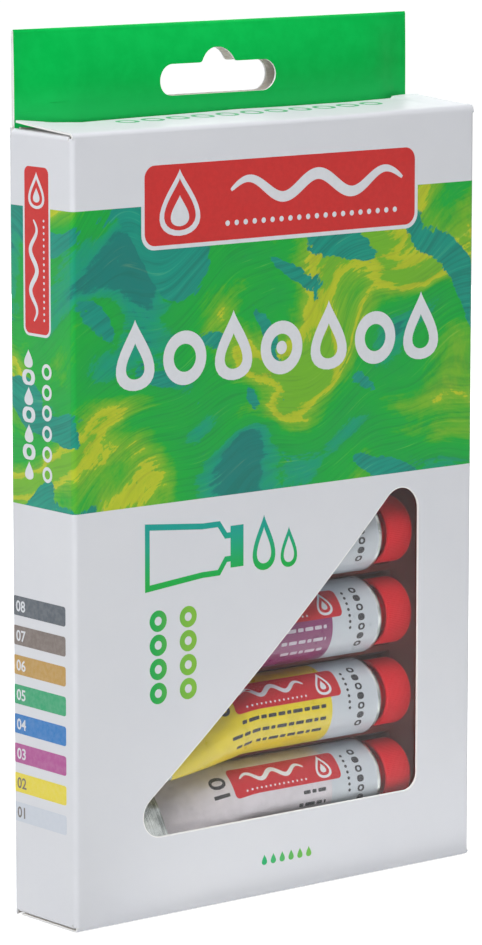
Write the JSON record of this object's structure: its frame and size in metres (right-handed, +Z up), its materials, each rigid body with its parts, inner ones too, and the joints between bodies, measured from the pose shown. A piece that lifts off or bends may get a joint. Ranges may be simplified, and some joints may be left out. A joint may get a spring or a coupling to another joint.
{
  "type": "gouache paint set box",
  "caption": "Folding carton with a hang tab and a corner window, holding a column of capped gouache tubes in a formed tray; both ends close with a tucked lid over side flaps.",
  "frame": {"origin": "middle of the rectangle that the carton stands on, at the level of that surface", "axes": "+X to the right along the window panel, +Y from the window panel towards the back, +Z up"},
  "size_m": [0.115, 0.023, 0.196],
  "materials": {
    "printed_board": "satin",
    "green_board": "satin",
    "clear_film": "gloss",
    "tray_plastic": "satin",
    "tube_metal": "satin",
    "cap_plastic": "satin",
    "gouache_white": "satin",
    "gouache_yellow": "satin",
    "gouache_magenta": "satin",
    "gouache_blue": "satin",
    "gouache_green": "satin",
    "gouache_ochre": "satin",
    "gouache_brown": "satin",
    "gouache_black": "satin"
  },
  "bodies": {
    "carton": {"front_panel": "printed_board", "back_panel": "printed_board", "left_side_panel": "printed_board", "right_side_panel": "printed_board", "glue_flap": "printed_board", "hang_tab_rear_ply": "green_board", "hang_tab_front_ply": "green_board", "window_film": "clear_film", "tray": "tray_plastic", "tube_white": "tube_metal", "paint_white": "gouache_white", "tube_yellow": "tube_metal", "paint_yellow": "gouache_yellow", "tube_magenta": "tube_metal", "paint_magenta": "gouache_magenta", "tube_blue": "tube_metal", "paint_blue": "gouache_blue", "tube_green": "tube_metal", "paint_green": "gouache_green", "tube_ochre": "tube_metal", "paint_ochre": "gouache_ochre", "tube_brown": "tube_metal", "paint_brown": "gouache_brown", "tube_black": "tube_metal", "paint_black": "gouache_black"},
    "top_lid": {"top_lid": "printed_board"},
    "top_tuck": {"top_tuck_flap": "printed_board"},
    "top_left_flap": {"top_flap_left": "printed_board"},
    "top_right_flap": {"top_flap_right": "printed_board"},
    "bottom_lid": {"bottom_lid": "printed_board"},
    "bottom_tuck": {"bottom_tuck_flap": "printed_board"},
    "bottom_left_flap": {"bottom_flap_left": "printed_board"},
    "bottom_right_flap": {"bottom_flap_right": "printed_board"},
    "cap_white": {"cap_white": "cap_plastic"},
    "cap_yellow": {"cap_yellow": "cap_plastic"},
    "cap_magenta": {"cap_magenta": "cap_plastic"},
    "cap_blue": {"cap_blue": "cap_plastic"},
    "cap_green": {"cap_green": "cap_plastic"},
    "cap_ochre": {"cap_ochre": "cap_plastic"},
    "cap_brown": {"cap_brown": "cap_plastic"},
    "cap_black": {"cap_black": "cap_plastic"}
  },
  "joints": [
    {"name": "top_lid_hinge", "type": "hinge", "parent": "carton", "child": "top_lid", "pos_m": [0, -0.0115, 0.1739], "axis": [1, 0, 0], "range_deg": [0, 100]},
    {"name": "top_tuck_crease", "type": "hinge", "parent": "top_lid", "child": "top_tuck", "pos_m": [0, 0.00804, 0.17557], "axis": [1, 0, 0], "range_deg": [-50, 0]},
    {"name": "top_left_flap_crease", "type": "hinge", "parent": "carton", "child": "top_left_flap", "pos_m": [-0.0575, 0, 0.17333], "axis": [0, -1, 0], "range_deg": [0, 35]},
    {"name": "top_right_flap_crease", "type": "hinge", "parent": "carton", "child": "top_right_flap", "pos_m": [0.0575, 0, 0.17333], "axis": [0, 1, 0], "range_deg": [0, 35]},
    {"name": "bottom_lid_hinge", "type": "hinge", "parent": "carton", "child": "bottom_lid", "pos_m": [0, -0.0115, 0.0011], "axis": [-1, 0, 0], "range_deg": [0, 100]},
    {"name": "bottom_tuck_crease", "type": "hinge", "parent": "bottom_lid", "child": "bottom_tuck", "pos_m": [0, 0.0081, 0.00045], "axis": [-1, 0, 0], "range_deg": [-50, 0]},
    {"name": "bottom_left_flap_crease", "type": "hinge", "parent": "carton", "child": "bottom_left_flap", "pos_m": [-0.0575, 0, 0.00167], "axis": [0, 1, 0], "range_deg": [0, 35]},
    {"name": "bottom_right_flap_crease", "type": "hinge", "parent": "carton", "child": "bottom_right_flap", "pos_m": [0.0575, 0, 0.00167], "axis": [0, -1, 0], "range_deg": [0, 35]},
    {"name": "cap_white_thread", "type": "hinge", "parent": "carton", "child": "cap_white", "pos_m": [0.0385, -0.00105, 0.02065], "axis": [1, 0, 0], "continuous": true},
    {"name": "cap_yellow_thread", "type": "hinge", "parent": "carton", "child": "cap_yellow", "pos_m": [0.0385, -0.00105, 0.03975], "axis": [1, 0, 0], "continuous": true},
    {"name": "cap_magenta_thread", "type": "hinge", "parent": "carton", "child": "cap_magenta", "pos_m": [0.0385, -0.00105, 0.05885], "axis": [1, 0, 0], "continuous": true},
    {"name": "cap_blue_thread", "type": "hinge", "parent": "carton", "child": "cap_blue", "pos_m": [0.0385, -0.00105, 0.07795], "axis": [1, 0, 0], "continuous": true},
    {"name": "cap_green_thread", "type": "hinge", "parent": "carton", "child": "cap_green", "pos_m": [0.0385, -0.00105, 0.09705], "axis": [1, 0, 0], "continuous": true},
    {"name": "cap_ochre_thread", "type": "hinge", "parent": "carton", "child": "cap_ochre", "pos_m": [0.0385, -0.00105, 0.11615], "axis": [1, 0, 0], "continuous": true},
    {"name": "cap_brown_thread", "type": "hinge", "parent": "carton", "child": "cap_brown", "pos_m": [0.0385, -0.00105, 0.13525], "axis": [1, 0, 0], "continuous": true},
    {"name": "cap_black_thread", "type": "hinge", "parent": "carton", "child": "cap_black", "pos_m": [0.0385, -0.00105, 0.15435], "axis": [1, 0, 0], "continuous": true}
  ],
  "couplings": [
    {"joint": "top_tuck_crease", "follows": "top_lid_hinge", "ratio": -0.5},
    {"joint": "top_left_flap_crease", "follows": "top_lid_hinge", "ratio": 0.35},
    {"joint": "top_right_flap_crease", "follows": "top_lid_hinge", "ratio": 0.35},
    {"joint": "bottom_tuck_crease", "follows": "bottom_lid_hinge", "ratio": -0.5},
    {"joint": "bottom_left_flap_crease", "follows": "bottom_lid_hinge", "ratio": 0.35},
    {"joint": "bottom_right_flap_crease", "follows": "bottom_lid_hinge", "ratio": 0.35}
  ]
}
